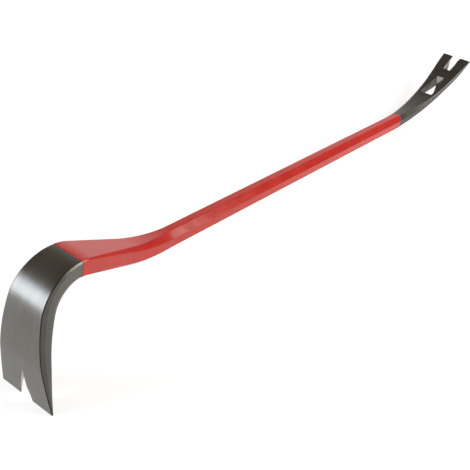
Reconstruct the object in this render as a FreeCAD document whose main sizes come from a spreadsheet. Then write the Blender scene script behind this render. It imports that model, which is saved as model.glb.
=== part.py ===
"""Demolition pry bar: one forging with a hooked wide claw, an octagonal shank and a bent-up nail claw,
and the powder coat that covers the shank.

The bar is drawn in the frame of its straight shank, along X with the wide claw at -X, and then tilted
and lifted as one so that it stands on the wide claw's edge and on the heel under the nail claw.
The forging is divided at two cross-sections that lie under the coat. Lengths are in millimetres.
"""
import FreeCAD, Part
import math
import os
from dataclasses import dataclass

import Sketcher

os.makedirs("parts", exist_ok=True)
doc = FreeCAD.newDocument("pry_bar")

# ---------------------------------------------------------------------------------------------
# Driving dimensions
# ---------------------------------------------------------------------------------------------

LENGTHS_AND_ANGLES = {
    "shank_length": 500,      # straight octagon between the two bends
    "run_in": 15,             # straight stretch that each end forging keeps of the shank
    "gooseneck_radius": 218,  # the shank rises a little before the hook
    "gooseneck_angle": 18,
    "neck_length": 62,
    "hook_radius": 40,
    "hook_angle": 94,
    "blade_radius": 200,
    "blade_angle": 15,
    "bit_radius": 880,        # the almost flat last stretch of the wide claw
    "bit_angle": 3.5,
    "heel_radius": 400,       # the long bend that lifts the nail claw
    "heel_angle": 22.5,
    "spoon_radius": 316,
    "spoon_angle": 9.2,
    "fork_length": 26,        # the straight tips of the nail claw
    "coat_thickness": 0.3,
    "notch_depth": 41,        # V in the wide claw
    "notch_mouth": 16,
    "fork_mouth": 14.8,       # V in the nail claw: its root is wide above and narrow below
    "fork_depth_above": 38,
    "fork_root_above": 12,
    "fork_depth_below": 32,
    "fork_root_below": 0.6,
    "slot_height_above": 8,   # teardrop nail slot, given on a plane above the claw
    "slot_tip_above": 26.8,
    "slot_tip_width_above": 13.6,
    "slot_round_above": 10.2,
    "slot_centre_above": 25,
    "slot_height_below": 4.8,  # and on a plane below it
    "slot_tip_below": 7.1,
    "slot_tip_width_below": 0.3,
    "slot_round_below": 6.7,
    "slot_centre_below": 22.9,
    "overrun": 2,             # how far a cutter passes the edge that it opens
}

# Each row: width, thickness, and the corner's reach across the face and down the side.
SECTIONS = {
    "shank": (21, 22, 6.4, 6.4),
    "gooseneck_end": (27, 20, 3.7, 3.7),
    "hook_start": (37.5, 17.5, 1.3, 1.3),
    "hook_end": (48.5, 16.3, 1.5, 5.5),
    "blade_end": (60, 12.3, 1.5, 5),
    "wide_edge": (71, 1.6, 0.4, 0.6),
    "heel_quarter": (22.4, 20.1, 5.7, 5.7),
    "heel_half": (25.7, 15.8, 4, 4),
    "heel_late": (30.3, 11.2, 2.2, 2.2),
    "heel_end": (35.4, 8.2, 1.2, 1.2),
    "spoon_end": (44.4, 6.7, 0.9, 0.9),
    "fork_edge": (47.7, 1.6, 0.4, 0.6),
}
SECTION_SIZES = ("width", "thickness", "corner_across", "corner_down")

sheet = doc.addObject("Spreadsheet::Sheet", "Sizes")
cells = dict(LENGTHS_AND_ANGLES)
for section, values in SECTIONS.items():
    cells.update({f"{section}_{size}": value for size, value in zip(SECTION_SIZES, values)})
for row, (alias, value) in enumerate(cells.items(), start=1):
    sheet.set(f"A{row}", alias.replace("_", " "))
    sheet.set(f"B{row}", str(value))
    sheet.setAlias(f"B{row}", alias)
doc.recompute()


def size(alias):
    """A driving dimension, read back from the sheet."""
    return float(sheet.get(alias))


# ---------------------------------------------------------------------------------------------
# Spine: tangent arcs in the XZ plane
# ---------------------------------------------------------------------------------------------

@dataclass
class Station:
    """A place on the spine, and the two rows of section sizes that the bar mixes there."""
    x: float
    z: float
    pitch: float          # radians that the local "along" has turned from +X towards +Z
    lower: str = "shank"
    upper: str = "shank"
    share: float = 1      # share of the upper row

    def place(self, along, out):
        """The point this far along the local tangent and this far out of the top face."""
        return (self.x + along * math.cos(self.pitch) - out * math.sin(self.pitch),
                self.z + along * math.sin(self.pitch) + out * math.cos(self.pitch))

    def mix(self, name):
        """The expression for one section size here."""
        if self.share == 1:
            return f"Sizes.{self.upper}_{name}"
        return f"(Sizes.{self.lower}_{name} * {1 - self.share} + Sizes.{self.upper}_{name} * {self.share})"


class Walk:
    """Walks outwards from one end of the straight shank along tangent arcs."""

    def __init__(self, x, side):
        self.side = side
        self.here = Station(x, 0, 0)

    def go(self, length, turn, row, steps=1):
        """Stations at equal steps of an arc on which the section changes evenly to the given row."""
        start = self.here
        stations = []
        for step in range(1, steps + 1):
            share = step / steps
            pitch = start.pitch + turn * share
            if turn:
                radius = length / turn
                x = start.x + self.side * radius * (math.sin(pitch) - math.sin(start.pitch))
                z = start.z + self.side * radius * (math.cos(start.pitch) - math.cos(pitch))
            else:
                x, z = start.place(self.side * length * share, 0)
            stations.append(Station(x, z, pitch, start.upper, row, share))
        self.here = stations[-1]
        return stations

    def bend(self, name, row, steps=1, direction=1, share=1):
        """Stations along a share of the bend whose radius and angle the sheet holds."""
        turn = math.radians(size(f"{name}_angle")) * share
        return self.go(size(f"{name}_radius") * turn, turn * direction, row, steps)


half_shank = size("shank_length") / 2
left_end = Station(-half_shank, 0, 0)
right_end = Station(half_shank, 0, 0)
left_run_in = Station(-half_shank + size("run_in"), 0, 0)
right_run_in = Station(half_shank - size("run_in"), 0, 0)

left = Walk(-half_shank, -1)
gooseneck = left.bend("gooseneck", "gooseneck_end", steps=2, direction=-1)
neck = left.go(size("neck_length"), 0, "hook_start", steps=4)
hook = left.bend("hook", "hook_end", steps=6)
blade = left.bend("blade", "blade_end", steps=4) + left.bend("bit", "wide_edge", steps=4)

right = Walk(half_shank, 1)
heel = right.bend("heel", "heel_quarter", steps=3, share=0.25)
for row in ("heel_half", "heel_late", "heel_end"):
    heel += right.bend("heel", row, share=0.25)
fork = right.bend("spoon", "spoon_end", steps=2) + right.go(size("fork_length"), 0, "fork_edge")

# ---------------------------------------------------------------------------------------------
# Features shared by the sub-parts
# ---------------------------------------------------------------------------------------------

def new_body(name):
    body = doc.addObject("PartDesign::Body", name)
    body.Label = name
    return body


def sketch_on(body, role, name, offset):
    """A sketch attached to one of its body's own origin planes, moved by an offset within it."""
    plane = next(item for item in body.Origin.OriginFeatures if item.Role == role)
    sketch = body.newObject("Sketcher::SketchObject", name)
    sketch.AttachmentSupport = [(plane, "")]
    sketch.MapMode = "FlatFace"
    sketch.AttachmentOffset = offset
    return sketch


def across(station, along=0):
    """Offset within the YZ plane that stands a sketch across the spine, local y towards the top."""
    x, z = station.place(along, 0)
    return FreeCAD.Placement(FreeCAD.Vector(0, z, x),
                             FreeCAD.Rotation(FreeCAD.Vector(1, 0, 0), -math.degrees(station.pitch)))


def over(station, out):
    """Offset within the XY plane that lays a sketch this far out of the spine, local x outwards."""
    x, z = station.place(0, out)
    return FreeCAD.Placement(FreeCAD.Vector(x, 0, z),
                             FreeCAD.Rotation(FreeCAD.Vector(0, 1, 0), -math.degrees(station.pitch)))


def closed_outline(sketch, points):
    """Lines through the points and back, joined end to end."""
    vectors = [FreeCAD.Vector(x, y, 0) for x, y in points]
    count = len(vectors)
    for index in range(count):
        sketch.addGeometry(Part.LineSegment(vectors[index], vectors[(index + 1) % count]), False)
    for index in range(count):
        sketch.addConstraint(Sketcher.Constraint("Coincident", index, 2, (index + 1) % count, 1))


def driven(sketch, kind, ends, value, expression):
    """A length between two line ends, bound to the sheet."""
    index = sketch.addConstraint(Sketcher.Constraint(kind, *ends, value))
    sketch.setExpression(f"Constraints[{index}]", expression)


def section(body, name, station, coat=False):
    """The bar's octagon across the spine: four faces and four corners, symmetric both ways."""
    grown = " + 2 * Sizes.coat_thickness" if coat else ""
    cut_grown = f" + {2 - math.sqrt(2)} * Sizes.coat_thickness" if coat else ""
    width = station.mix("width") + grown
    thickness = station.mix("thickness") + grown
    top = f"{width} - 2 * ({station.mix('corner_across')}{cut_grown})"
    side = f"{thickness} - 2 * ({station.mix('corner_down')}{cut_grown})"

    sketch = sketch_on(body, "YZ_Plane", name, across(station))
    half_width, half_thickness, half_top, half_side = 12, 12, 6, 6    # before the sheet drives them
    quarter = [(half_top, half_thickness), (half_width, half_side)]
    right_half = quarter + [(y, -z) for y, z in reversed(quarter)]
    closed_outline(sketch, right_half + [(-y, z) for y, z in reversed(right_half)])
    for first, second in ((0, 7), (1, 6), (2, 5), (3, 4)):
        sketch.addConstraint(Sketcher.Constraint("Symmetric", first, 1, second, 1, -2))
    for first, second in ((0, 3), (1, 2)):
        sketch.addConstraint(Sketcher.Constraint("Symmetric", first, 1, second, 1, -1))
    driven(sketch, "DistanceX", (7, 1, 0, 1), 2 * half_top, top)
    driven(sketch, "DistanceX", (6, 1, 1, 1), 2 * half_width, width)
    driven(sketch, "DistanceY", (3, 1, 0, 1), 2 * half_thickness, thickness)
    driven(sketch, "DistanceY", (2, 1, 1, 1), 2 * half_side, side)
    return sketch


def loft(body, name, sketches, kind="Additive", ruled=False):
    feature = body.newObject(f"PartDesign::{kind}Loft", name)
    feature.Profile = (sketches[0], [""])
    feature.Sections = [(sketch, [""]) for sketch in sketches[1:]]
    feature.Ruled = ruled
    return feature


def loft_stations(body, name, stations, coat=False):
    sketches = [section(body, f"{name}_section_{index}", station, coat)
                for index, station in enumerate(stations)]
    return loft(body, name, sketches)


def straight_shank(body, coat=False):
    """The straight octagon between the two run-ins."""
    pad = body.newObject("PartDesign::Pad", f"{body.Name}_straight")
    pad.Profile = section(body, f"{body.Name}_straight_section", left_run_in, coat)
    pad.setExpression("Length", "Sizes.shank_length - 2 * Sizes.run_in")
    return pad


# ---------------------------------------------------------------------------------------------
# Sub-parts
# ---------------------------------------------------------------------------------------------

def make_shank():
    """Octagonal handle with its gooseneck, up to the division in the neck."""
    body = new_body("shank")
    straight_shank(body)
    loft_stations(body, "gooseneck", [left_run_in, left_end] + gooseneck + neck[:3])
    return body


def make_wide_claw():
    """Hook and flared blade, sharpened to an edge with a V notch."""
    body = new_body("wide_claw")
    loft_stations(body, "hook_and_blade", neck[2:] + hook + blade)

    edge_height = FreeCAD.Placement(FreeCAD.Vector(0, blade[-1].z, 0), FreeCAD.Rotation())
    sketch = sketch_on(body, "YZ_Plane", "notch_outline", edge_height)
    depth, mouth, overrun = size("notch_depth"), size("notch_mouth"), size("overrun")
    closed_outline(sketch, [(0, depth), (mouth / 2, -overrun), (-mouth / 2, -overrun)])
    sketch.addConstraint(Sketcher.Constraint("PointOnObject", 0, 1, -2))
    sketch.addConstraint(Sketcher.Constraint("Symmetric", 1, 1, 2, 1, -2))
    driven(sketch, "DistanceY", (-1, 1, 0, 1), depth, "Sizes.notch_depth")
    driven(sketch, "DistanceY", (1, 1, -1, 1), overrun, "Sizes.overrun")
    driven(sketch, "DistanceX", (2, 1, 1, 1), mouth,
           "Sizes.notch_mouth * (Sizes.notch_depth + Sizes.overrun) / Sizes.notch_depth")
    notch = body.newObject("PartDesign::Pocket", "notch")
    notch.Profile = sketch
    notch.Type = "ThroughAll"
    notch.Midplane = True
    return body


def fork_outline(body, level, out):
    """The nail claw's V on one level: a trapezoid, square to the edge."""
    sketch = sketch_on(body, "XY_Plane", f"fork_{level}", over(fork[-1], out))
    depth, root, mouth = size(f"fork_depth_{level}"), size(f"fork_root_{level}"), size("fork_mouth")
    overrun = size("overrun")
    closed_outline(sketch, [(-depth, root / 2), (overrun, mouth / 2),
                            (overrun, -mouth / 2), (-depth, -root / 2)])
    for first, second in ((0, 3), (1, 2)):
        sketch.addConstraint(Sketcher.Constraint("Symmetric", first, 1, second, 1, -1))
    driven(sketch, "DistanceX", (0, 1, -1, 1), depth, f"Sizes.fork_depth_{level}")
    driven(sketch, "DistanceX", (-1, 1, 1, 1), overrun, "Sizes.overrun")
    driven(sketch, "DistanceY", (3, 1, 0, 1), root, f"Sizes.fork_root_{level}")
    driven(sketch, "DistanceY", (2, 1, 1, 1), mouth, "Sizes.fork_mouth")
    return sketch


def slot_outline(body, level, out):
    """The nail slot on one level: a teardrop with its blunt tip towards the claw's edge."""
    sketch = sketch_on(body, "XY_Plane", f"slot_{level}", over(heel[-1], out))
    tip, half_tip = size(f"slot_tip_{level}"), size(f"slot_tip_width_{level}") / 2
    centre, radius = -size(f"slot_centre_{level}"), size(f"slot_round_{level}")
    tilt = math.asin((radius - half_tip) / math.hypot(tip - centre, radius - half_tip))
    top = FreeCAD.Vector(centre + radius * math.sin(tilt), radius * math.cos(tilt), 0)
    bottom = FreeCAD.Vector(top.x, -top.y, 0)
    tips = [FreeCAD.Vector(tip, half_tip, 0), FreeCAD.Vector(tip, -half_tip, 0)]
    circle = Part.Circle(FreeCAD.Vector(centre, 0, 0), FreeCAD.Vector(0, 0, 1), radius)
    sketch.addGeometry(Part.LineSegment(tips[1], tips[0]), False)
    sketch.addGeometry(Part.LineSegment(tips[0], top), False)
    sketch.addGeometry(Part.ArcOfCircle(circle, math.pi / 2 - tilt, 3 * math.pi / 2 + tilt), False)
    sketch.addGeometry(Part.LineSegment(bottom, tips[1]), False)
    sketch.addConstraint(Sketcher.Constraint("Coincident", 0, 2, 1, 1))
    sketch.addConstraint(Sketcher.Constraint("Coincident", 3, 2, 0, 1))
    sketch.addConstraint(Sketcher.Constraint("Tangent", 1, 2, 2, 1))
    sketch.addConstraint(Sketcher.Constraint("Tangent", 2, 2, 3, 1))
    sketch.addConstraint(Sketcher.Constraint("PointOnObject", 2, 3, -1))
    sketch.addConstraint(Sketcher.Constraint("Symmetric", 0, 1, 0, 2, -1))
    driven(sketch, "DistanceX", (-1, 1, 0, 1), tip, f"Sizes.slot_tip_{level}")
    driven(sketch, "DistanceY", (0, 1, 0, 2), 2 * half_tip, f"Sizes.slot_tip_width_{level}")
    driven(sketch, "DistanceX", (2, 3, -1, 1), -centre, f"Sizes.slot_centre_{level}")
    driven(sketch, "Radius", (2,), radius, f"Sizes.slot_round_{level}")
    return sketch


def make_nail_claw():
    """Heel, spoon and forked tip, with a bevelled V and a teardrop slot."""
    body = new_body("nail_claw")
    loft_stations(body, "heel_and_spoon", [right_run_in, right_end] + heel + fork)
    half_claw = size("spoon_end_thickness") / 2
    loft(body, "fork_cut", [fork_outline(body, "above", half_claw), fork_outline(body, "below", -half_claw)],
         kind="Subtractive", ruled=True)
    loft(body, "slot_cut", [slot_outline(body, "above", size("slot_height_above")),
                            slot_outline(body, "below", -size("slot_height_below"))],
         kind="Subtractive", ruled=True)
    return body


def make_red_coat(steel):
    """The powder coat: a thin shell round the shank, from just inside the hook to the heel."""
    blank = new_body("coat_blank")
    straight_shank(blank, coat=True)
    loft_stations(blank, "coat_gooseneck", [left_run_in, left_end] + gooseneck + neck + hook[:1], coat=True)
    loft_stations(blank, "coat_heel", [right_run_in, right_end] + heel[:2], coat=True)
    core = doc.addObject("Part::MultiFuse", "steel_core")
    core.Shapes = steel
    coat = doc.addObject("Part::Cut", "red_coat")
    coat.Base = blank
    coat.Tool = core
    coat.Label = "red_coat"
    return blank, coat


wide_claw = make_wide_claw()
shank = make_shank()
nail_claw = make_nail_claw()
steel = [wide_claw, shank, nail_claw]
coat_blank, red_coat = make_red_coat(steel)
doc.recompute()

# ---------------------------------------------------------------------------------------------
# Standing pose: level on the wide claw's edge and the heel, origin under the middle of the bar
# ---------------------------------------------------------------------------------------------

def box_when_tilted(body, tilt):
    """The exact box of a body's shape turned by this many degrees about Y."""
    shape = body.Shape.copy()
    shape.rotate(FreeCAD.Vector(0, 0, 0), FreeCAD.Vector(0, 1, 0), tilt)
    return shape.optimalBoundingBox(False, False)


SPAN_SHARE = 0.8    # the heel and the edge stand about this share of the bar's length apart
tilt = 0
for refinement in range(6):
    wide_box, nail_box = box_when_tilted(wide_claw, tilt), box_when_tilted(nail_claw, tilt)
    span = SPAN_SHARE * (nail_box.XMax - wide_box.XMin)
    tilt += math.degrees(math.atan2(nail_box.ZMin - wide_box.ZMin, span))
middle = (wide_box.XMin + nail_box.XMax) / 2
turn = FreeCAD.Rotation(FreeCAD.Vector(0, 1, 0), tilt)
standing = FreeCAD.Placement(FreeCAD.Vector(-middle, 0, -wide_box.ZMin), turn)
for body in steel + [coat_blank]:
    body.Placement = standing
doc.recompute()

# ---------------------------------------------------------------------------------------------
# Checks and export
# ---------------------------------------------------------------------------------------------

for item in doc.Objects:
    if "Invalid" in item.State or "Error" in item.State:
        raise RuntimeError(f"{item.Label} failed: {item.State}")

for node in steel + [red_coat]:
    shape = node.Shape
    if shape.isNull() or not shape.isValid() or len(shape.Solids) != 1:
        raise RuntimeError(f"{node.Label} isn't one valid solid")
    shape.exportStep(f"parts/{node.Label}.step")
    box = shape.optimalBoundingBox(False, False)
    print(f"{node.Label}: {shape.Volume / 1000:.1f} cm3, X {box.XMin:.1f} to {box.XMax:.1f}, "
          f"Y {box.YMin:.1f} to {box.YMax:.1f}, Z {box.ZMin:.2f} to {box.ZMax:.1f}")
print(f"tilt {tilt:.2f} degrees")
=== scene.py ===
import math

import bmesh
import bpy
import numpy as np
from mathutils import Matrix, Vector


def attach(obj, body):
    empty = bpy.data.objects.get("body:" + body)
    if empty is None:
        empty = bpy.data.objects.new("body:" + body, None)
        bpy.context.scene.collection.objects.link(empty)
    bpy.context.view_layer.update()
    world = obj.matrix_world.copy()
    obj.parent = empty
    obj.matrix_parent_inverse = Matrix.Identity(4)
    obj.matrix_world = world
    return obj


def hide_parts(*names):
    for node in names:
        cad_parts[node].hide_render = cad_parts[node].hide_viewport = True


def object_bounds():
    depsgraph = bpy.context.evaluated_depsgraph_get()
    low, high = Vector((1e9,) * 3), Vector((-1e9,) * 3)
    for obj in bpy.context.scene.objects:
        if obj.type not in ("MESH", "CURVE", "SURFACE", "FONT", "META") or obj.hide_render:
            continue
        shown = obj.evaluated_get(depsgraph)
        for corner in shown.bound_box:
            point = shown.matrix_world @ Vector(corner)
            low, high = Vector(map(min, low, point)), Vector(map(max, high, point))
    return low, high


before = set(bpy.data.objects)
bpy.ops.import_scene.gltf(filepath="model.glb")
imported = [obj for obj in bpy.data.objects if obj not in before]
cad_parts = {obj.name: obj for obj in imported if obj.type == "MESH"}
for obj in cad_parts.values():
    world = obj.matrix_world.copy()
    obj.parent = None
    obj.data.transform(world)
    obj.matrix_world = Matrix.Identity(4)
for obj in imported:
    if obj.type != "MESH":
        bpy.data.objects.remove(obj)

cad_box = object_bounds()
MM = 0.001
scene = bpy.context.scene

# Camera: stands off the wide claw's side of the bar, looking down along it.

camera_place = Vector((-0.7403, -0.4261, 0.5745))
camera_ahead = Vector((0.6483, 0.4607, -0.6062))
CAMERA_ROLL = math.radians(4.51)
FOCAL_LENGTH_IN_WIDTHS = 1.6394

camera_data = bpy.data.cameras.new("view")
camera_data.sensor_width = 36.0
camera_data.lens = FOCAL_LENGTH_IN_WIDTHS * camera_data.sensor_width
camera_data.clip_start = 0.01
camera = bpy.data.objects.new("view", camera_data)
scene.collection.objects.link(camera)
facing = camera_ahead.to_track_quat("-Z", "Y").to_matrix().to_4x4()
camera.matrix_world = Matrix.Translation(camera_place) @ facing @ Matrix.Rotation(CAMERA_ROLL, 4, "Z")
scene.camera = camera


# Wide claw: the hooked end of the forging, flared and drawn down to a ground edge with a V notch.
# Its faces are ground bright along the bar, below the hook its drafts and flanks carry painted shade,
# darkest on the corners next to the faces, and the red coat stops a little way into the hook.

HALF_SHANK = 250 * MM
# Bends outwards from each end of the straight shank: radius (None is straight), degrees or length.
LEFT_BENDS = [(218, -18), (None, 62), (40, 94), (200, 15), (880, 3.5)]
RIGHT_BENDS = [(400, 22.5), (316, 9.2), (None, 26)]
TILT = math.radians(7.61)
SPINE_STEP = 0.25 * MM
SOFTENING = 10 * MM      # length over which one bend or taper passes into the next


def soften(values, window=SOFTENING):
    """Moving average over a window of the spine; the ends are held."""
    half = int(window / SPINE_STEP / 2)
    padded = np.pad(values, half, mode="edge")
    return np.convolve(padded, np.full(2 * half + 1, 1 / (2 * half + 1)), mode="valid")


def running_sum(values):
    """Integral along the spine by the trapezoid rule, nought at its first point."""
    return np.append(0, np.cumsum((values[1:] + values[:-1]) / 2) * SPINE_STEP)


class Spine:
    """One side of the bar's centre line: pitch is the integral of curvature over the distance
    walked outwards, and x and z are the integrals of its cosine and sine."""

    def __init__(self, bends, side):
        lengths = [amount * MM if radius is None else radius * MM * math.radians(abs(amount))
                   for radius, amount in bends]
        curvatures = [0 if radius is None else math.copysign(1 / (radius * MM), amount)
                      for radius, amount in bends]
        ends = np.cumsum(lengths)
        self.side = side
        self.length = ends[-1]
        self.walked = np.arange(-60 * MM, self.length + 5 * MM, SPINE_STEP)
        bend = np.clip(np.searchsorted(ends, self.walked), 0, len(ends) - 1)
        self.pitch = running_sum(soften(np.where(self.walked < 0, 0, np.array(curvatures)[bend])))
        x, z = running_sum(np.cos(self.pitch)), running_sum(np.sin(self.pitch))
        start = np.searchsorted(self.walked, 0)
        self.x = side * (HALF_SHANK + x - x[start])
        self.z = side * (z - z[start])

    def at(self, walked):
        """x, z and pitch at distances walked outwards from the end of the straight shank."""
        return [np.interp(walked, self.walked, values) for values in (self.x, self.z, self.pitch)]


left_spine, right_spine = Spine(LEFT_BENDS, -1), Spine(RIGHT_BENDS, 1)

# Rows of: distance along the spine, width, thickness, corner across the face, corner down the side.
LEFT_SECTIONS = np.array([(0, 21, 22, 6.4, 6.4), (68.5, 27, 20, 3.7, 3.7), (130.5, 37.5, 17.5, 1.3, 1.3),
                          (196.1, 48.5, 16.3, 1.5, 5.5), (248.5, 60, 12.3, 1.5, 5),
                          (302.2, 71, 1.6, 0.4, 0.6)]) * MM
RIGHT_SECTIONS = np.array([(0, 21, 22, 6.4, 6.4), (39.3, 22.4, 20.1, 5.7, 5.7), (78.5, 25.7, 15.8, 4, 4),
                           (117.8, 30.3, 11.2, 2.2, 2.2), (157.1, 35.4, 8.2, 1.2, 1.2),
                           (207.8, 44.4, 6.7, 0.9, 0.9), (233.8, 47.7, 1.6, 0.4, 0.6)]) * MM

# The section's eight flats follow its corners round from the top right one: draft, flank, draft, face.
CORNER_POINTS = 6
FLAT_DIVISIONS = [3, 6, 3, 18, 3, 6, 3, 18]
EDGE_SHARE = 0.03        # a flat's first and last ring, which keep its shading flat
flat_shares = [np.concatenate([[EDGE_SHARE], np.linspace(0, 1, count + 1)[1:-1], [1 - EDGE_SHARE]])
               for count in FLAT_DIVISIONS]
flat_of_point = np.concatenate([
    np.repeat([(number - 1) % 8, number], [CORNER_POINTS // 2, CORNER_POINTS // 2 + len(shares)])
    for number, shares in enumerate(flat_shares)])
FLAT_APART = 0.1         # metres from one flat's pattern to the next one's


def section_sizes(rows, spine, walked, grow):
    """Half width, half thickness and corner sizes at each distance, outwards by grow."""
    values = [soften(np.interp(spine.walked, rows[:, 0], rows[:, column])) for column in range(1, 5)]
    width, thickness, across, down = [np.interp(walked, spine.walked, value) for value in values]
    more = grow * (2 - math.sqrt(2))
    return width / 2 + grow, thickness / 2 + grow, across + more, down + more


def outline(half_width, half_height, across, down, radius):
    """The octagon across the spine as an array (rows, points, 2). A corner is the parabola that
    starts and ends a radius's tangent length back along its two edges."""
    top, side = half_width - across, half_height - down
    corners = np.stack([
        np.stack([y, z], -1) for y, z in (
            (top, half_height), (half_width, side), (half_width, -side), (top, -half_height),
            (-top, -half_height), (-half_width, -side), (-half_width, side), (-top, half_height))], 1)
    following = np.roll(corners, -1, axis=1) - corners
    length = np.linalg.norm(following, axis=-1, keepdims=True)
    ahead = following / length
    behind = np.roll(ahead, 1, axis=1)
    cosine = np.clip((ahead * behind).sum(-1, keepdims=True), -1, 1)
    reach = radius * np.sqrt((1 - cosine) / (1 + cosine + 1e-9))
    reach = np.minimum(reach, 0.45 * np.minimum(length, np.roll(length, 1, axis=1)))
    share = np.linspace(0, 1, CORNER_POINTS)[None, None, :, None]
    start, end = corners - behind * reach, corners + ahead * reach
    arcs = ((1 - share) ** 2 * start[:, :, None] + 2 * share * (1 - share) * corners[:, :, None]
            + share ** 2 * end[:, :, None])
    next_start = np.roll(start, -1, axis=1)
    ring = []
    for number, shares in enumerate(flat_shares):
        flat = end[:, number, None] + shares[None, :, None] * (next_start - end)[:, number, None]
        ring += [arcs[:, number], flat]
    return np.concatenate(ring, axis=1)


def stand(x, z):
    """The shank's own frame turned about Y into the standing one."""
    return x * math.cos(TILT) + z * math.sin(TILT), -x * math.sin(TILT) + z * math.cos(TILT)


def to_place(spine, walked, section):
    """Section points (rows, points, 2) carried to the spine as positions (rows, points, 3)."""
    x, z, pitch = [values[:, None] for values in spine.at(walked)]
    y, out = section[..., 0], section[..., 1]
    placed_x, placed_z = stand(x - out * np.sin(pitch), z + out * np.cos(pitch))
    return np.stack([placed_x, y, placed_z], -1)


def surface_map(section, along):
    """Pattern coordinates (rows, points, 2): distance from the middle of each flat, every flat set
    apart from the next, and distance along the spine."""
    steps = np.linalg.norm(np.roll(section, -1, axis=1) - section, axis=-1)
    around = np.cumsum(steps, axis=1) - steps
    around[:, :CORNER_POINTS // 2] += steps.sum(axis=1, keepdims=True)
    middles = np.stack([around[:, flat_of_point == number].mean(axis=1) for number in range(8)], 1)
    across = around - middles[:, flat_of_point] + FLAT_APART * flat_of_point
    return np.stack([across, np.broadcast_to(along[:, None], across.shape)], -1)


def standing_shift():
    """Offset that puts the left end and the claws' lowest point where the frame has them."""
    corners = []
    for spine, rows in ((left_spine, LEFT_SECTIONS), (right_spine, RIGHT_SECTIONS)):
        walked = np.linspace(0, rows[-1, 0], 1200)
        section = outline(*section_sizes(rows, spine, walked, 0), radius=0.01 * MM)
        corners.append(to_place(spine, walked, section).reshape(-1, 3).min(axis=0))
    left_end, floor_level = cad_box[0][0], cad_box[0][2]
    return np.array([left_end - corners[0][0], 0, floor_level - min(corner[2] for corner in corners)])


shift = standing_shift()


def grid_object(name, positions, pattern, flip):
    """A closed skin over a grid (rows, points, 3): quads along it, round it, and a face on each end."""
    rows, points, _ = positions.shape
    row, point = np.meshgrid(np.arange(rows - 1), np.arange(points), indexing="ij")
    beside = (point + 1) % points
    quads = np.stack([row * points + point, row * points + beside,
                      (row + 1) * points + beside, (row + 1) * points + point], -1).reshape(-1, 4)
    first = np.arange(points)[::-1]
    last = (rows - 1) * points + np.arange(points)
    if flip:
        quads, first, last = quads[:, ::-1], first[::-1], last[::-1]
    mesh = bpy.data.meshes.new(name)
    faces = quads.tolist() + [first.tolist(), last.tolist()]
    mesh.from_pydata((positions + shift).reshape(-1, 3).tolist(), [], faces)
    loops = np.concatenate([quads.ravel(), first, last])
    mesh.uv_layers.new(name="surface").data.foreach_set("uv", pattern.reshape(-1, 2)[loops].ravel())
    mesh.shade_smooth()
    mesh.update()
    piece = bpy.data.objects.new(name, mesh)
    scene.collection.objects.link(piece)
    return piece


RIM_RADIUS = 0.35 * MM


def bar_end(name, spine, rows, start, radius, step):
    """The forging from a start distance out to its edge, where a quarter round turns it over."""
    end = rows[-1, 0]
    turn = np.radians([30, 60, 90])
    walked = np.linspace(start, end - RIM_RADIUS, int((end - start) / step))
    grow = np.append(np.zeros_like(walked), RIM_RADIUS * (np.cos(turn) - 1))
    walked = np.append(walked, end - RIM_RADIUS + RIM_RADIUS * np.sin(turn))
    section = outline(*section_sizes(rows, spine, walked, grow), radius=radius)
    return grid_object(name, to_place(spine, walked, section), surface_map(section, walked),
                       flip=spine.side > 0)


def spine_point(spine, walked, along, across, out):
    """A point measured from a place on a spine: outwards along its tangent, across, and out of its top."""
    x, z, pitch = [float(value) for value in spine.at(walked)]
    x, z = stand(x + spine.side * along * math.cos(pitch) - out * math.sin(pitch),
                 z + spine.side * along * math.sin(pitch) + out * math.cos(pitch))
    return Vector((x + shift[0], across, z + shift[2]))


def solid(name, points, faces):
    """A closed solid from its corners and faces, all turned outwards."""
    shape = bmesh.new()
    corners = [shape.verts.new(point) for point in points]
    for face in faces:
        shape.faces.new([corners[number] for number in face])
    bmesh.ops.recalc_face_normals(shape, faces=shape.faces)
    mesh = bpy.data.meshes.new(name)
    shape.to_mesh(mesh)
    shape.free()
    piece = bpy.data.objects.new(name, mesh)
    scene.collection.objects.link(piece)
    return piece


def prism(name, lower, upper):
    """A closed solid between two outlines with the same number of corners."""
    count = len(lower)
    sides = [(i, (i + 1) % count, count + (i + 1) % count, count + i) for i in range(count)]
    caps = [tuple(range(count))[::-1], tuple(range(count, 2 * count))]
    return solid(name, [*lower, *upper], sides + caps)


def cut(piece, cutter, *finishes):
    """Takes the cutter's volume out of a piece; the new faces get the cutter's own finishes."""
    for finish in finishes:
        cutter.data.materials.append(finish)
    modifier = piece.modifiers.new("cut", "BOOLEAN")
    modifier.object, modifier.operation, modifier.solver = cutter, "DIFFERENCE", "EXACT"
    modifier.material_mode = "TRANSFER"
    depsgraph = bpy.context.evaluated_depsgraph_get()
    mesh = bpy.data.meshes.new_from_object(piece.evaluated_get(depsgraph))
    piece.modifiers.clear()
    old = piece.data
    piece.data = mesh
    bpy.data.meshes.remove(old)
    bpy.data.objects.remove(cutter)


def ease_cut_edges(piece, spine, end, width):
    """A small two-step bevel where cut faces meet the forging's own, up to just short of its rounded
    end, and sharp shading elsewhere."""
    mesh = bmesh.new()
    mesh.from_mesh(piece.data)
    bmesh.ops.remove_doubles(mesh, verts=mesh.verts, dist=0.02 * MM)
    limit = spine_point(spine, end, -RIM_RADIUS - 2 * width, 0, 0)
    outwards = spine_point(spine, end, 0, 0, 0) - limit
    rim = [edge for edge in mesh.edges if len(edge.link_faces) == 2
           and (edge.link_faces[0].material_index == 0) != (edge.link_faces[1].material_index == 0)
           and all((corner.co - limit).dot(outwards) < 0 for corner in edge.verts)]
    bmesh.ops.bevel(mesh, geom=rim, offset=width, segments=2, profile=0.5, affect="EDGES",
                    clamp_overlap=False, material=-1)
    mesh.to_mesh(piece.data)
    mesh.free()
    piece.data.shade_smooth()
    piece.data.set_sharp_from_angle(angle=math.radians(30))


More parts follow.
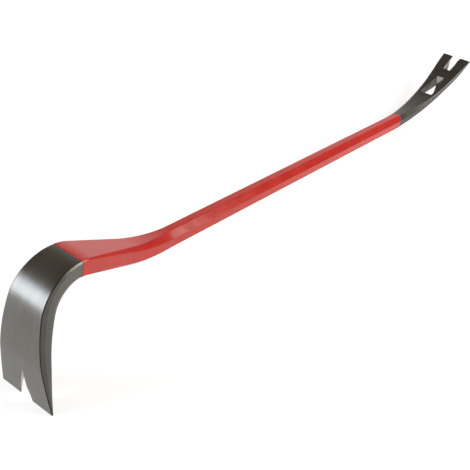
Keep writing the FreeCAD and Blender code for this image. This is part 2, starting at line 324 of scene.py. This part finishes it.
def set_stops(ramp_node, stops):
    """Gives a colour ramp its stops, in rising order: a position, and a colour or a plain grey."""
    elements = ramp_node.color_ramp.elements
    while len(elements) < len(stops):
        elements.new(0.5)
    for element, (position, colour) in zip(elements, stops):
        element.position = position
        element.color = (*colour, 1) if isinstance(colour, tuple) else (colour, colour, colour, 1)


class Finish:
    """A material being made: short ways to add a node, feed it, and stack bumps on its shader."""

    def __init__(self, name, metallic, roughness):
        self.material = bpy.data.materials.new(name)
        self.material.use_nodes = True
        self.nodes, self.links = self.material.node_tree.nodes, self.material.node_tree.links
        self.shader = self.nodes["Principled BSDF"]
        self.shader.inputs["Metallic"].default_value = metallic
        self.shader.inputs["Roughness"].default_value = roughness
        self.coordinates = self.nodes.new("ShaderNodeTexCoord")

    def noise(self, where, grains, detail):
        """Noise with so many grains to the metre on each axis of the Object or UV coordinates."""
        stretch = self.nodes.new("ShaderNodeMapping")
        stretch.inputs["Scale"].default_value = grains
        self.links.new(self.coordinates.outputs[where], stretch.inputs["Vector"])
        texture = self.nodes.new("ShaderNodeTexNoise")
        texture.inputs["Scale"].default_value = 1.0
        texture.inputs["Detail"].default_value = detail
        self.links.new(stretch.outputs["Vector"], texture.inputs["Vector"])
        return texture.outputs["Fac"]

    def math(self, operation, first, second=None):
        """One sum on sockets or plain numbers."""
        node = self.nodes.new("ShaderNodeMath")
        node.operation = operation
        for value, socket in zip((first, second), node.inputs):
            if isinstance(value, bpy.types.NodeSocket):
                self.links.new(value, socket)
            elif value is not None:
                socket.default_value = value
        return node.outputs[0]

    def ramp(self, value, *stops):
        """A colour, or a grey for a plain number, for each position of a value."""
        node = self.nodes.new("ShaderNodeValToRGB")
        set_stops(node, stops)
        self.links.new(value, node.inputs["Fac"])
        return node.outputs["Color"]

    def product(self, colour, factor):
        """A colour times a grey."""
        node = self.nodes.new("ShaderNodeVectorMath")
        node.operation = "MULTIPLY"
        self.links.new(colour, node.inputs[0])
        self.links.new(factor, node.inputs[1])
        return node.outputs[0]

    def bump(self, height, strength, depth):
        """A bump on top of the ones before it."""
        node = self.nodes.new("ShaderNodeBump")
        node.inputs["Strength"].default_value = strength
        node.inputs["Distance"].default_value = depth
        self.links.new(height, node.inputs["Height"])
        below = self.shader.inputs["Normal"].links
        if below:
            self.links.new(below[0].from_socket, node.inputs["Normal"])
        self.links.new(node.outputs["Normal"], self.shader.inputs["Normal"])

    def along(self, start, end):
        """0 up to one distance along the spine, 1 from another on, and even in between."""
        split = self.nodes.new("ShaderNodeSeparateXYZ")
        self.links.new(self.coordinates.outputs["UV"], split.inputs[0])
        place = self.nodes.new("ShaderNodeMapRange")
        for socket, value in (("From Min", start), ("From Max", end), ("To Min", 0), ("To Max", 1)):
            place.inputs[socket].default_value = value
        self.links.new(split.outputs["Y"], place.inputs["Value"])
        return place.outputs["Result"]

    def sideways(self):
        """How far the surface faces sideways: 0 on the bar's faces, 1 on its flanks."""
        geometry = self.nodes.new("ShaderNodeNewGeometry")
        split = self.nodes.new("ShaderNodeSeparateXYZ")
        self.links.new(geometry.outputs["Normal"], split.inputs[0])
        return self.math("ABSOLUTE", split.outputs["Y"])


def ground_steel():
    """Satin steel: fine lines along the blade over faint clouds; below the hook painted shade darkens it
    where the surface faces sideways: on the drafts and flanks, darkest on the corner next to each face."""
    finish = Finish("ground_steel", metallic=1.0, roughness=0.3)
    clouds = finish.noise("Object", (35, 35, 35), 5)
    lines = finish.noise("UV", (900, 14, 1), 6)
    streaks = finish.noise("UV", (260, 5, 1), 3)
    tone = finish.ramp(finish.math("ADD", finish.math("MULTIPLY", clouds, 0.5),
                                   finish.math("MULTIPLY", lines, 0.5)),
                       (0.35, (0.137, 0.129, 0.114)), (0.65, (0.170, 0.161, 0.144)))
    # Painted shade: the share of colour kept as the surface turns sideways, least on the corners.
    side = finish.ramp(finish.sideways(), (0.0, 1.0), (0.15, 1.0), (0.3, 0.14), (0.88, 0.14),
                       (0.94, 0.6), (0.975, 0.64), (0.99, 0.78), (1.0, 0.78))
    painted_shade_depth = finish.math("MULTIPLY", finish.math("SUBTRACT", 1.0, side), finish.along(160 * MM, 190 * MM))
    painted_shade_factor = finish.math("SUBTRACT", 1.0, painted_shade_depth)
    finish.links.new(finish.product(tone, painted_shade_factor), finish.shader.inputs["Base Color"])
    finish.links.new(finish.ramp(clouds, (0.3, 0.29), (0.7, 0.36)), finish.shader.inputs["Roughness"])
    finish.bump(lines, 0.22, 0.0002)
    finish.bump(streaks, 0.10, 0.0006)
    return finish.material


def cut_steel(name, brightness, roughness, metallic=1.0):
    """Fresh steel on the cut faces, slightly warm, with a fine grain; less metallic where it is matt."""
    finish = Finish(name, metallic=metallic, roughness=roughness)
    grain = finish.noise("Object", (500, 500, 500), 4)
    darker, lighter = [(share * brightness, 0.96 * share * brightness, 0.90 * share * brightness)
                       for share in (0.8, 1.2)]
    tone = finish.ramp(grain, (0.3, darker), (0.7, lighter))
    finish.links.new(tone, finish.shader.inputs["Base Color"])
    finish.bump(grain, 0.25, 0.0002)
    return finish.material


LEFT_DIVISION = LEFT_SECTIONS[2, 0] - 15.5 * MM      # where this piece meets the shank, before the hook
wide_claw = bar_end("wide_claw_steel", left_spine, LEFT_SECTIONS, LEFT_DIVISION,
                    radius=1.1 * MM, step=1.2 * MM)
wide_claw.data.materials.append(ground_steel())

claw_edge = LEFT_SECTIONS[-1, 0]
NOTCH_DEPTH, NOTCH_MOUTH = 39.3 * MM, 14.6 * MM      # on the outer face
OUTER_FACE = 2.6 * MM    # how far out of the spine that face is, halfway up the notch
NOTCH_FLARE = 0.55       # how fast its walls open towards the inner face
APEX_FLARE = 2.2         # how much faster its apex runs back than its walls open
OVERRUN = 3 * MM


def notch_outline(out):
    """The V on one level of the blade: two corners past the edge, and its apex."""
    opened = NOTCH_FLARE * (OUTER_FACE - out)
    slope = NOTCH_MOUTH / 2 / NOTCH_DEPTH
    mouth = NOTCH_MOUTH / 2 + OVERRUN * slope + opened
    apex = -NOTCH_DEPTH - APEX_FLARE * opened
    return [spine_point(left_spine, claw_edge, along, across, out)
            for along, across in ((OVERRUN, -mouth), (OVERRUN, mouth), (apex, 0))]


cut(wide_claw, prism("notch", notch_outline(-9 * MM), notch_outline(9 * MM)),
    cut_steel("notch_steel", brightness=0.42, roughness=0.38))
ease_cut_edges(wide_claw, left_spine, claw_edge, 0.3 * MM)
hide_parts("wide_claw")
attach(wide_claw, "root")


# Shank: the octagonal middle of the forging, as forged. The coat hides all of it.

def bar_steel():
    """Plain dark bar steel with a faint scale."""
    finish = Finish("bar_steel", metallic=1.0, roughness=0.5)
    scale = finish.noise("Object", (120, 120, 120), 3)
    tone = finish.ramp(scale, (0.3, (0.13, 0.125, 0.12)), (0.7, (0.21, 0.20, 0.19)))
    finish.links.new(tone, finish.shader.inputs["Base Color"])
    return finish.material


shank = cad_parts["shank"]
shank.data.materials.clear()
shank.data.materials.append(bar_steel())


# Nail claw: the upturned end of the forging, thinned to a spoon, forked at its tip, with a bevelled
# teardrop slot behind the fork. It is hardened and left dark; the fork's walls and the slot's valley
# are ground brighter.

def dark_steel():
    """Hardened forging: dark and half matt, with fine lines along it and a faint grain."""
    finish = Finish("dark_steel", metallic=1.0, roughness=0.36)
    grain = finish.noise("Object", (160, 160, 160), 6)
    lines = finish.noise("UV", (700, 18, 1), 5)
    tone = finish.ramp(finish.math("ADD", finish.math("MULTIPLY", grain, 0.5),
                                   finish.math("MULTIPLY", lines, 0.5)),
                       (0.35, (0.150, 0.141, 0.128)), (0.65, (0.210, 0.200, 0.184)))
    # Painted shade: the colour falls to about half where the surface faces sideways, on the drafts and
    # flanks.
    side = finish.ramp(finish.sideways(), (0.0, 1.0), (0.5, 1.0), (0.8, 0.52), (1.0, 0.52))
    finish.links.new(finish.product(tone, side), finish.shader.inputs["Base Color"])
    finish.links.new(finish.ramp(grain, (0.3, 0.32), (0.7, 0.42)), finish.shader.inputs["Roughness"])
    finish.bump(grain, 0.15, 0.0003)
    finish.bump(lines, 0.18, 0.0002)
    return finish.material


RIGHT_DIVISION = -15 * MM        # inside the straight shank
nail_claw = bar_end("nail_claw_steel", right_spine, RIGHT_SECTIONS, RIGHT_DIVISION,
                    radius=0.7 * MM, step=1.5 * MM)
nail_claw.data.materials.append(dark_steel())


FORK_MOUTH = 14.8 * MM
tip_edge = RIGHT_SECTIONS[-1, 0]


def fork_outline(depth, root, out):
    """The fork's V, cut short by its root, on one level."""
    return [spine_point(right_spine, tip_edge, along, across, out)
            for along, across in ((-depth, root / 2), (-depth, -root / 2),
                                  (OVERRUN, -FORK_MOUTH / 2), (OVERRUN, FORK_MOUTH / 2))]


cut(nail_claw, prism("fork", fork_outline(depth=33.5 * MM, root=0.6 * MM, out=-3.6 * MM),
                     fork_outline(depth=39 * MM, root=12 * MM, out=3.6 * MM)),
    cut_steel("fork_steel", brightness=0.36, roughness=0.42))


def round_end(half_tip, tip, centre, radius, points=32):
    """The round end of the teardrop, from one tangent out of the tip round to the other."""
    lean = math.asin((radius - half_tip) / math.hypot(tip + centre, radius - half_tip))
    angles = np.linspace(math.pi / 2 - lean, 3 * math.pi / 2 + lean, points)
    return np.stack([-centre + radius * np.cos(angles), radius * np.sin(angles)], -1)


def slot_cutter():
    """The nail slot: a wide teardrop on the top face that narrows on bevelled walls to a smaller one,
    straight from there down, and a V valley that climbs from the small one's tip to the wide one's
    blunt end. Its own frame, in mm, is the heel's end: along the claw, across it, and out of its top."""
    blunt, half_blunt, tip = 21.5, 5.9, 8.5
    valley_depth, neck, below = 2.6, -2.2, -7.0
    upper = round_end(half_blunt, blunt, 24.5, 9.8)
    lower = round_end(0, tip, 18, 7.0)
    count = len(upper)

    def above(along):
        """Just over the claw's face, which rises on both sides of the heel's end."""
        return 4.65 + 0.032 * (blunt - along)

    points = [(blunt, half_blunt, above(blunt)), (blunt, -half_blunt, above(blunt)),
              (blunt, 0, above(blunt) - valley_depth), (tip, 0, neck), (tip, 0, below)]
    points += [(*point, above(point[0])) for point in upper]
    points += [(*point, level) for level in (neck, below) for point in lower]
    left, right, valley, root, foot, top = range(6)
    middle, bottom = top + count, top + 2 * count
    last = count - 1
    bevels = [(top + i, top + i + 1, middle + i + 1, middle + i) for i in range(last)]
    bevels += [(left, top, middle), (left, middle, root), (root, middle + last, right),
               (middle + last, top + last, right)]
    walls = [(middle + i, middle + i + 1, bottom + i + 1, bottom + i) for i in range(last)]
    walls += [(root, middle, bottom, foot), (foot, bottom + last, middle + last, root)]
    valleys = [(left, root, valley), (valley, root, right), (left, valley, right)]
    caps = [(left, right, *range(top + last, top - 1, -1)), (foot, *range(bottom, bottom + count))]
    heel_end = RIGHT_SECTIONS[4, 0]
    cutter = solid("slot", [spine_point(right_spine, heel_end, *(value * MM for value in point))
                            for point in points], bevels + walls + valleys + caps)
    finish_of_face = [0] * len(bevels) + [1] * len(walls) + [2] * len(valleys) + [0] * len(caps)
    cutter.data.polygons.foreach_set("material_index", finish_of_face)
    return cutter


# The slot's straight walls are painted near black: painted shade inside the hole.
cut(nail_claw, slot_cutter(), cut_steel("slot_bevel", brightness=0.17, roughness=0.45),
    cut_steel("slot_wall_painted_shade", brightness=0.03, roughness=0.5),
    cut_steel("slot_valley", brightness=0.62, roughness=0.6, metallic=0.3))
ease_cut_edges(nail_claw, right_spine, tip_edge, 0.15 * MM)
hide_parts("nail_claw")
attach(nail_claw, "root")


# Powder coat: a thin glossy red skin baked onto the shank, from just inside the hook to the heel.
# It was masked by hand, so each end bows out on the faces, and the film thins to nothing there.

COAT_THICKNESS, INSIDE_STEEL = 0.3 * MM, -0.1 * MM
COAT_INTO_HOOK, COAT_INTO_HEEL = 11 * MM, 29.5 * MM
LIP = 0.7 * MM           # length over which the film thins at its ends
from_end = np.array([0, 0.04, 0.15, 0.35, 0.65, 1]) * LIP
COAT_EDGE_RADIUS = 0.9 * MM


def coat_end(spine, rows, reach, bow, flank_back, under_back):
    """How far out the film ends at each point of the ring: bowed on the wide faces by the square of
    the distance across, drawn back on the flanks by its sixth power and evenly from the top face to
    the bottom one, with a slow ripple."""
    ring = outline(*section_sizes(rows, spine, np.array([reach]), 0), radius=COAT_EDGE_RADIUS)[0]
    across, out = (ring / ring.max(axis=0)).T
    around = np.linspace(0, math.tau, len(across), endpoint=False)
    ripple = 0.2 * MM * np.sin(5 * around + 1) + 0.12 * MM * np.sin(11 * around)
    return (reach + bow * (1 - across ** 2) - flank_back * across ** 6
            - under_back * (1 - out) / 2 + ripple)


def film(spine, rows, end, steps):
    """The film on one end of the bar, rows from its edge in to the straight shank. Each point is
    read off a dense run of rings at its own distance, so that a wavy end still lies on the steel."""
    dense = np.arange(-2 * MM, end.max() + 2 * MM, SPINE_STEP)
    sections = [outline(*section_sizes(rows, spine, dense, grow), radius=COAT_EDGE_RADIUS)
                for grow in (INSIDE_STEEL, COAT_THICKNESS)]
    shares = np.linspace(1, 0, steps)[1:]
    walked = np.concatenate([end - from_end[:, None], (end - LIP) * shares[:, None]])
    fullness = np.append(np.sqrt(1 - (1 - from_end / LIP) ** 2), np.ones_like(shares))[:, None, None]
    before = ((walked - dense[0]) / SPINE_STEP).astype(int)
    part = ((walked - dense[before]) / SPINE_STEP)[..., None]
    point = np.arange(walked.shape[1])
    bare, coated, pattern = [
        values[before, point] * (1 - part) + values[before + 1, point] * part
        for values in (*(to_place(spine, dense, section) for section in sections),
                       surface_map(sections[1], spine.side * (HALF_SHANK + dense)))]
    return bare + (coated - bare) * fullness, pattern


hook_start = LEFT_SECTIONS[2, 0]
left_end = coat_end(left_spine, LEFT_SECTIONS, hook_start + COAT_INTO_HOOK,
                    bow=0.2 * MM, flank_back=0.6 * MM, under_back=0)
right_end = coat_end(right_spine, RIGHT_SECTIONS, COAT_INTO_HEEL,
                     bow=0.5 * MM, flank_back=5.0 * MM, under_back=4.0 * MM)
left_film, left_pattern = film(left_spine, LEFT_SECTIONS, left_end, steps=110)
right_film, right_pattern = film(right_spine, RIGHT_SECTIONS, right_end, steps=24)
along_shank = np.linspace(0, 1, 42)[1:-1, None, None]
films = [left_film, left_film[-1] + (right_film[-1] - left_film[-1]) * along_shank, right_film[::-1]]
patterns = [left_pattern, left_pattern[-1] + (right_pattern[-1] - left_pattern[-1]) * along_shank,
            right_pattern[::-1]]
coat = grid_object("red_coat_skin", np.concatenate(films), np.concatenate(patterns), flip=True)
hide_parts("red_coat")
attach(coat, "root")


def red_powder():
    """Baked powder coat: saturated red, glossy, with a fine orange peel over slow waves."""
    finish = Finish("red_powder", metallic=0.0, roughness=0.2)
    mottle = finish.noise("Object", (60, 60, 60), 4)
    tone = finish.ramp(mottle, (0.3, (0.72, 0.017, 0.007)), (0.7, (0.82, 0.021, 0.009)))
    finish.links.new(tone, finish.shader.inputs["Base Color"])
    finish.links.new(finish.ramp(mottle, (0.3, 0.16), (0.7, 0.26)), finish.shader.inputs["Roughness"])
    finish.shader.inputs["Specular Tint"].default_value = (1.0, 0.95, 0.85, 1)
    finish.bump(finish.noise("Object", (45, 45, 45), 2), 0.25, 0.0012)
    finish.bump(finish.noise("Object", (700, 700, 700), 2), 0.25, 0.0001)
    return finish.material


coat.data.materials.append(red_powder())


# Studio: a white floor, air that is pale low down and on the far side and darkens overhead, a large
# soft lamp on the near side and a smaller bluish one behind the wide claw.

floor_mesh = bpy.data.meshes.new("floor")
FLOOR_HALF, FLOOR_DROP = 6.0, 0.2 * MM
FLOOR_GREY, FLOOR_GLOW = 0.62, 0.72
floor_mesh.from_pydata([(-FLOOR_HALF, -FLOOR_HALF, -FLOOR_DROP), (FLOOR_HALF, -FLOOR_HALF, -FLOOR_DROP),
                        (FLOOR_HALF, FLOOR_HALF, -FLOOR_DROP), (-FLOOR_HALF, FLOOR_HALF, -FLOOR_DROP)],
                       [], [(0, 1, 2, 3)])
floor = bpy.data.objects.new("floor", floor_mesh)
scene.collection.objects.link(floor)


def floor_paper():
    """White paper: diffuse, with its own faint glow for the camera and in gloss and glass, so that it
    stays white there while it keeps a shadow."""
    finish = Finish("floor_paper", metallic=0.0, roughness=1.0)
    finish.shader.inputs["Base Color"].default_value = (FLOOR_GREY, FLOOR_GREY, FLOOR_GREY, 1)
    finish.shader.inputs["Specular IOR Level"].default_value = 0.0
    path = finish.nodes.new("ShaderNodeLightPath").outputs
    mirrored = finish.math("MAXIMUM", path["Is Glossy Ray"], path["Is Transmission Ray"])
    seen = finish.math("MAXIMUM", path["Is Camera Ray"], mirrored)
    finish.shader.inputs["Emission Color"].default_value = (1, 1, 1, 1)
    finish.links.new(finish.math("MULTIPLY", seen, FLOOR_GLOW), finish.shader.inputs["Emission Strength"])
    return finish.material


floor.data.materials.append(floor_paper())


def softbox(name, place, aim, size, radiance, colour):
    """A rectangular lamp that faces a point; its power is four times its area times its radiance."""
    data = bpy.data.lights.new(name, "AREA")
    data.shape, data.size, data.size_y = "RECTANGLE", size[0], size[1]
    data.energy = 4 * size[0] * size[1] * radiance
    data.color = colour
    lamp = bpy.data.objects.new(name, data)
    lamp.location = place
    lamp.rotation_euler = (Vector(aim) - Vector(place)).to_track_quat("-Z", "Y").to_euler()
    scene.collection.objects.link(lamp)


softbox("near_side", (0.85, -1.47, 0.91), (0, 0, 0.05), (1.3, 1.1), 4.0, (1.0, 0.99, 0.97))
softbox("behind_claw", (-1.55, 0.93, 0.58), (-0.44, 0, 0.11), (0.6, 0.78), 6.4, (0.72, 0.83, 1.0))

BRIGHT_SIDE = (-0.3, 0.95, 0)
DARKEST_AIR, BRIGHTEST_AIR = 0.05, 1.75     # strength away from the bright side and towards it

world = bpy.data.worlds.new("studio")
world.use_nodes = True
scene.world = world
air, air_links = world.node_tree.nodes, world.node_tree.links
direction = air.new("ShaderNodeTexCoord")
height = air.new("ShaderNodeSeparateXYZ")
air_links.new(direction.outputs["Generated"], height.inputs[0])
fade = air.new("ShaderNodeValToRGB")
set_stops(fade, [(0.0, 0.95), (0.3, 0.8), (0.45, (0.5, 0.49, 0.48)), (0.62, (0.20, 0.17, 0.14)),
                 (1.0, (0.17, 0.135, 0.105))])
air_links.new(height.outputs["Z"], fade.inputs["Fac"])
farness = air.new("ShaderNodeVectorMath")
farness.operation = "DOT_PRODUCT"
farness.inputs[1].default_value = BRIGHT_SIDE
air_links.new(direction.outputs["Generated"], farness.inputs[0])
lift = air.new("ShaderNodeMapRange")
lift.inputs["From Min"].default_value, lift.inputs["From Max"].default_value = -1.0, 1.0
lift.inputs["To Min"].default_value, lift.inputs["To Max"].default_value = DARKEST_AIR, BRIGHTEST_AIR
air_links.new(farness.outputs["Value"], lift.inputs["Value"])
air_links.new(fade.outputs["Color"], air["Background"].inputs["Color"])
air_links.new(lift.outputs["Result"], air["Background"].inputs["Strength"])

scene.view_settings.view_transform = "Standard"
